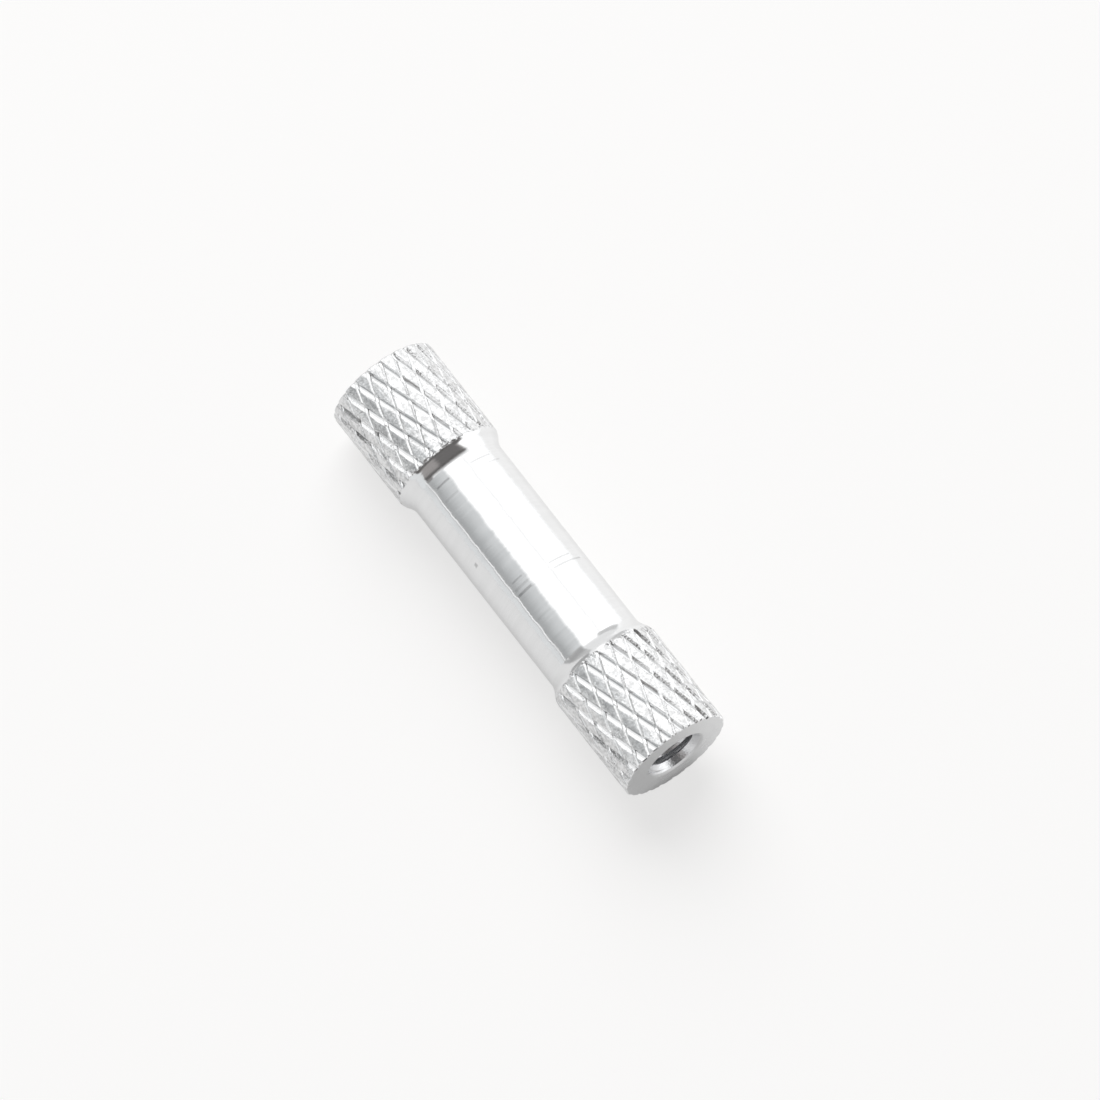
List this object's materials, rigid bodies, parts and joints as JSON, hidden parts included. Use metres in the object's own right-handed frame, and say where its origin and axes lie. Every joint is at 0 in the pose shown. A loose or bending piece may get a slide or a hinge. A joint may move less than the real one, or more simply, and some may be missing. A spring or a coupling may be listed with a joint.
{
  "type": "round standoff",
  "caption": "Round threaded spacer turned from aluminium bar, with diamond-knurled ends, a slimmer plain neck, and a blind tapped hole in each end face.",
  "frame": {"origin": "centre of the lower end face, which the standoff stands on", "axes": "+Z along the bar axis, from the lower end face to the upper end face; +X and +Y are any two square directions across the bar"},
  "size_m": [0.006, 0.006, 0.025],
  "materials": {
    "turned_aluminium": "bright bare aluminium: knurled grips with burnished flat tops, a finely turned neck and satin faced ends"
  },
  "bodies": {
    "root": {"standoff_body": "turned_aluminium"}
  },
  "joints": []
}
